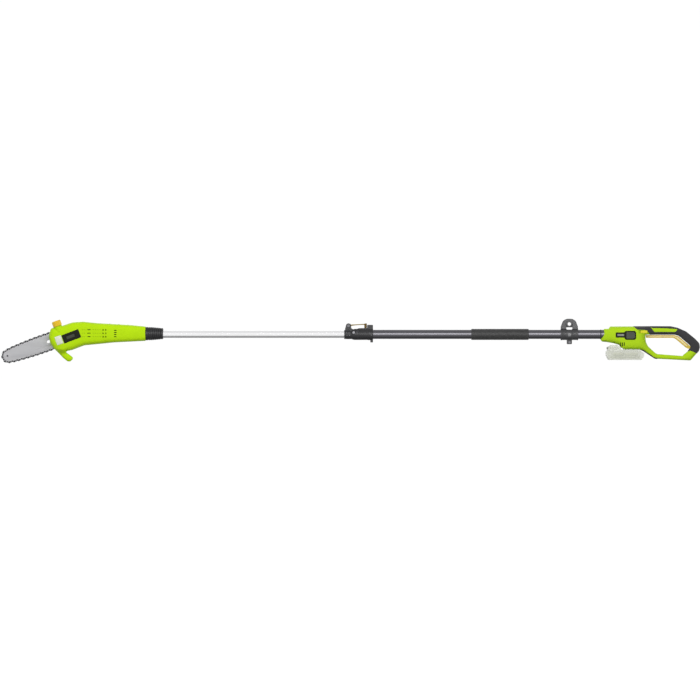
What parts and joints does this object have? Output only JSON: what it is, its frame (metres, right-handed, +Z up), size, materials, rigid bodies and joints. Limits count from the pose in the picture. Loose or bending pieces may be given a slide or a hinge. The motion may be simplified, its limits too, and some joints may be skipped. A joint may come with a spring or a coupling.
{
  "type": "telescoping pole saw",
  "caption": "Battery telescoping pole saw: tilted guide bar and chain on a motor head, two-tube pole with cam clamp, foam fore grip, carry eye, D-handle with trigger and slide-on pack.",
  "frame": {"origin": "on the pole's axis at the middle of the foam fore grip", "axes": "+X along the pole from the saw head to the rear handle, +Z up in the working attitude, +Y towards the bar side"},
  "size_m": [2.7576, 0.087, 0.1706],
  "materials": {
    "head_lime": "gloss",
    "rear_lime": "gloss",
    "black_plastic": "satin",
    "soft_black": "matt",
    "foam": "matt",
    "cable": "matt",
    "dark_tube": "satin metallic",
    "bright_aluminium": "polished",
    "cast_aluminium": "cast",
    "steel": "bright",
    "magnet": "matt",
    "bar_steel": "brushed",
    "chain_steel": "dark oiled",
    "gold_lever": "gold anodised",
    "yellow_plastic": "satin",
    "amber_plastic": "translucent satin",
    "clear_plastic": "translucent",
    "battery_shell": "frosted translucent",
    "cells": "satin",
    "label": "satin",
    "copper": "wound",
    "board": "satin"
  },
  "bodies": {
    "rear_pole": {"outer_tube": "dark_tube", "foam_grip": "foam", "clamp_body": "black_plastic", "clamp_screw": "steel", "lever_pin": "steel", "rear_shell_left": "rear_lime", "rear_shell_right": "rear_lime", "soft_grip_left": "soft_black", "soft_grip_right": "soft_black", "tube_gasket": "soft_black", "strut_pad": "soft_black", "badge_left": "label", "badge_right": "label", "switch_block": "black_plastic", "trigger_pin": "steel", "trigger_spring": "steel", "circuit_board": "board", "terminal_block": "black_plastic", "cable_coil": "cable"},
    "clamp_lever": {"cam_lever": "gold_lever"},
    "clamp_pad": {"clamp_pad": "black_plastic"},
    "carry_bracket": {"carry_bracket": "black_plastic", "bracket_screw": "steel"},
    "trigger": {"trigger": "amber_plastic"},
    "lock_off": {"lock_off_button": "yellow_plastic"},
    "battery": {"battery_case": "battery_shell", "battery_lid": "battery_shell", "cell_pack": "cells"},
    "battery_latch": {"latch_button": "black_plastic"},
    "inner_pole": {"inner_tube": "bright_aluminium", "tube_bush": "black_plastic", "head_lead": "cable", "ferrule": "black_plastic", "head_shell_left": "head_lime", "head_shell_right": "head_lime", "oil_tank": "clear_plastic", "oil_window": "clear_plastic", "head_label": "label", "motor_can": "steel", "motor_magnets": "magnet", "motor_end_cap": "black_plastic", "gear_bracket": "cast_aluminium", "bearing_left": "steel", "bearing_right": "steel", "oil_pump": "black_plastic", "bar_stud": "steel", "sprocket_cover": "head_lime"},
    "cap_seal": {"cap_seal": "soft_black"},
    "oil_cap": {"oil_cap": "yellow_plastic"},
    "drive": {"drive_sprocket": "steel", "sprocket_shaft": "steel", "crown_gear": "steel"},
    "rotor": {"motor_rotor": "copper", "pinion": "steel"},
    "bar": {"guide_bar": "bar_steel", "saw_chain": "chain_steel", "tension_pin": "steel"},
    "nose_sprocket": {"nose_sprocket": "steel"},
    "tension_screw": {"tension_screw": "steel"},
    "cover_knob": {"cover_knob": "black_plastic"}
  },
  "joints": [
    {"name": "telescope", "type": "slide", "parent": "rear_pole", "child": "inner_pole", "axis": [1, 0, 0], "range_m": [0, 0.7], "deforming": ["cable_coil"]},
    {"name": "clamp_lever", "type": "hinge", "parent": "rear_pole", "child": "clamp_lever", "pos_m": [-0.598, 0, 0.0332], "axis": [0, -1, 0], "range_deg": [0, 105]},
    {"name": "clamp_pad_lift", "type": "slide", "parent": "rear_pole", "child": "clamp_pad", "axis": [0, 0, 1], "range_m": [0, 0.001]},
    {"name": "carry_bracket_slide", "type": "slide", "parent": "rear_pole", "child": "carry_bracket", "axis": [1, 0, 0], "range_m": [-0.11, 0.08]},
    {"name": "trigger", "type": "hinge", "parent": "rear_pole", "child": "trigger", "pos_m": [0.762, 0, -0.053], "axis": [0, 1, 0], "range_deg": [0, 2], "stiffness_Nm_per_rad": 10, "springref_deg": -1.15, "deforming": ["trigger_spring"]},
    {"name": "lock_off", "type": "slide", "parent": "rear_pole", "child": "lock_off", "axis": [-1, 0, 0], "range_m": [0, 0.006], "stiffness_N_per_m": 400, "springref_m": -0.002},
    {"name": "battery_slide", "type": "slide", "parent": "rear_pole", "child": "battery", "axis": [-1, 0, 0], "range_m": [0, 0.12]},
    {"name": "battery_latch", "type": "slide", "parent": "battery", "child": "battery_latch", "axis": [1, 0, 0], "range_m": [0, 0.003], "stiffness_N_per_m": 500, "springref_m": -0.001},
    {"name": "oil_cap_turn", "type": "hinge", "parent": "cap_seal", "child": "oil_cap", "pos_m": [-1.74749, -0.019, 0.03866], "axis": [-0.3328, 0, 0.943], "range_deg": [0, 720]},
    {"name": "oil_cap_lift", "type": "slide", "parent": "inner_pole", "child": "cap_seal", "axis": [-0.3328, 0, 0.943], "range_m": [0, 0.006]},
    {"name": "motor_spin", "type": "hinge", "parent": "inner_pole", "child": "rotor", "pos_m": [-1.65, 0, 0], "axis": [1, 0, 0], "continuous": true},
    {"name": "drive_spin", "type": "hinge", "parent": "inner_pole", "child": "drive", "pos_m": [-1.7068, 0.024, 0], "axis": [0, 1, 0], "continuous": true},
    {"name": "tension_screw_turn", "type": "hinge", "parent": "inner_pole", "child": "tension_screw", "pos_m": [-1.7631, 0.0307, -0.03578], "axis": [-0.943, 0, -0.3328], "range_deg": [-1350, 0]},
    {"name": "bar_tension", "type": "slide", "parent": "inner_pole", "child": "bar", "axis": [-0.943, 0, -0.3328], "range_m": [-0.003, 0]},
    {"name": "nose_spin", "type": "hinge", "parent": "bar", "child": "nose_sprocket", "pos_m": [-1.94726, 0.024, -0.08487], "axis": [0, 1, 0], "continuous": true},
    {"name": "cover_knob_turn", "type": "hinge", "parent": "inner_pole", "child": "cover_knob", "pos_m": [-1.76338, 0.043, -0.01997], "axis": [0, 1, 0], "range_deg": [0, 180]}
  ],
  "couplings": [
    {"joint": "clamp_pad_lift", "follows": "clamp_lever", "m_per_rad": 0.000545},
    {"joint": "oil_cap_lift", "follows": "oil_cap_turn", "m_per_rad": 0.000477},
    {"joint": "drive_spin", "follows": "motor_spin", "ratio": -0.3125},
    {"joint": "nose_spin", "follows": "motor_spin", "ratio": -0.26786},
    {"joint": "tension_screw_turn", "follows": "bar_tension", "rad_per_m": 7850}
  ]
}
